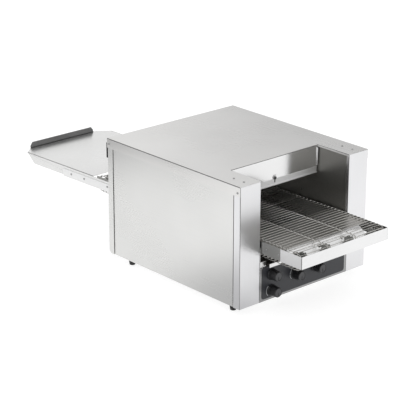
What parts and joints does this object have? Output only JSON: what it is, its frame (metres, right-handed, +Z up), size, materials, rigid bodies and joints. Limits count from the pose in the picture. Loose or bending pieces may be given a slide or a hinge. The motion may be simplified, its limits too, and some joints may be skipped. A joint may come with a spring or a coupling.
{
  "type": "conveyor pizza oven",
  "caption": "Countertop conveyor oven: wire belt through a radiant tunnel, raisable gate, crumb drawer, control knobs and sloping exit tray.",
  "frame": {"origin": "centre of the footprint box, on the plane that the rubber feet stand on", "axes": "+X to the right across the belt as seen from the controls, +Y the way the belt feeds, +Z up"},
  "size_m": [0.5424, 1.3784, 0.4102],
  "materials": {
    "stainless_steel": "brushed",
    "tunnel_steel": "heat-darkened",
    "belt_wire": "drawn wire",
    "shaft_steel": "turned",
    "sprocket_steel": "machined, oiled",
    "chain_steel": "oiled",
    "element_sheath": "oxidised",
    "fastener_steel": "bright",
    "graphite_overlay": "satin",
    "knob_plastic": "satin",
    "stop_coating": "satin grey",
    "black_coating": "satin black",
    "foot_rubber": "matt",
    "mineral_wool": "fibrous",
    "bronze": "sintered",
    "switch_plastic": "moulded",
    "motor_paint": "satin",
    "fan_plastic": "moulded",
    "gland_plastic": "moulded"
  },
  "bodies": {
    "oven": {"base_pan": "stainless_steel", "left_side_panel": "stainless_steel", "right_side_panel": "stainless_steel", "front_left_column": "stainless_steel", "front_right_column": "stainless_steel", "rear_left_column": "stainless_steel", "rear_right_column": "stainless_steel", "top_cover": "stainless_steel", "front_hood_wall": "stainless_steel", "rear_hood_wall": "stainless_steel", "control_box_front": "stainless_steel", "control_box_cover": "stainless_steel", "rear_lower_panel": "stainless_steel", "left_rail": "stainless_steel", "right_rail": "stainless_steel", "end_guard": "stainless_steel", "conveyor_brackets": "stainless_steel", "exit_tray": "stainless_steel", "left_tray_arm": "stainless_steel", "right_tray_arm": "stainless_steel", "front_slider_plate": "stainless_steel", "rear_slider_plate": "stainless_steel", "left_inner_wall": "tunnel_steel", "right_inner_wall": "tunnel_steel", "tunnel_roof": "tunnel_steel", "lower_reflector": "tunnel_steel", "wire_belt": "belt_wire", "belt_support_bars": "shaft_steel", "drive_chain": "chain_steel", "upper_elements": "element_sheath", "lower_elements": "element_sheath", "gate_screw": "fastener_steel", "foot_screws": "fastener_steel", "panel_screws": "fastener_steel", "tray_rivets": "fastener_steel", "fan_guard": "fastener_steel", "control_panel": "graphite_overlay", "tray_stop": "stop_coating", "rear_header": "black_coating", "feet": "foot_rubber", "insulation": "mineral_wool", "shaft_bushings": "bronze", "rotary_switches": "switch_plastic", "terminal_block": "switch_plastic", "gearmotor": "motor_paint", "fan_frame": "fan_plastic", "cord_gland": "gland_plastic"},
    "gate": {"gate": "stainless_steel"},
    "crumb_tray": {"crumb_tray": "stainless_steel"},
    "top_heat_knob": {"top_heat_knob": "knob_plastic"},
    "bottom_heat_knob": {"bottom_heat_knob": "knob_plastic"},
    "power_knob": {"power_knob": "knob_plastic"},
    "speed_knob": {"speed_knob": "knob_plastic"},
    "front_shaft": {"front_shaft": "shaft_steel", "front_sprockets": "sprocket_steel", "chain_sprocket": "sprocket_steel"},
    "rear_shaft": {"rear_shaft": "shaft_steel", "rear_sprockets": "sprocket_steel"},
    "motor_drive": {"motor_sprocket": "sprocket_steel"},
    "fan_rotor": {"fan_rotor": "fan_plastic"}
  },
  "joints": [
    {"name": "gate_lift", "type": "slide", "parent": "oven", "child": "gate", "axis": [0, 0, 1], "range_m": [0, 0.013]},
    {"name": "crumb_tray_pull", "type": "slide", "parent": "oven", "child": "crumb_tray", "axis": [0, -1, 0], "range_m": [0, 0.45]},
    {"name": "top_heat_knob_turn", "type": "hinge", "parent": "oven", "child": "top_heat_knob", "pos_m": [-0.138, -0.517, 0.103], "axis": [0, 1, 0], "range_deg": [0, 300]},
    {"name": "bottom_heat_knob_turn", "type": "hinge", "parent": "oven", "child": "bottom_heat_knob", "pos_m": [-0.138, -0.517, 0.051], "axis": [0, 1, 0], "range_deg": [0, 300]},
    {"name": "power_knob_turn", "type": "hinge", "parent": "oven", "child": "power_knob", "pos_m": [-0.039, -0.517, 0.078], "axis": [0, 1, 0], "range_deg": [0, 90]},
    {"name": "speed_knob_turn", "type": "hinge", "parent": "oven", "child": "speed_knob", "pos_m": [0.051, -0.517, 0.078], "axis": [0, 1, 0], "range_deg": [0, 300]},
    {"name": "front_shaft_spin", "type": "hinge", "parent": "oven", "child": "front_shaft", "pos_m": [0, -0.65804, 0.1964], "axis": [1, 0, 0], "continuous": true},
    {"name": "rear_shaft_spin", "type": "hinge", "parent": "oven", "child": "rear_shaft", "pos_m": [0, 0.24404, 0.1964], "axis": [1, 0, 0], "continuous": true},
    {"name": "motor_spin", "type": "hinge", "parent": "oven", "child": "motor_drive", "pos_m": [0.18, -0.456, 0.1964], "axis": [1, 0, 0], "continuous": true},
    {"name": "fan_spin", "type": "hinge", "parent": "oven", "child": "fan_rotor", "pos_m": [-0.11, 0.084, 0.081], "axis": [0, 1, 0], "continuous": true}
  ],
  "couplings": [
    {"joint": "rear_shaft_spin", "follows": "front_shaft_spin", "ratio": 1},
    {"joint": "motor_spin", "follows": "front_shaft_spin", "ratio": 1}
  ]
}
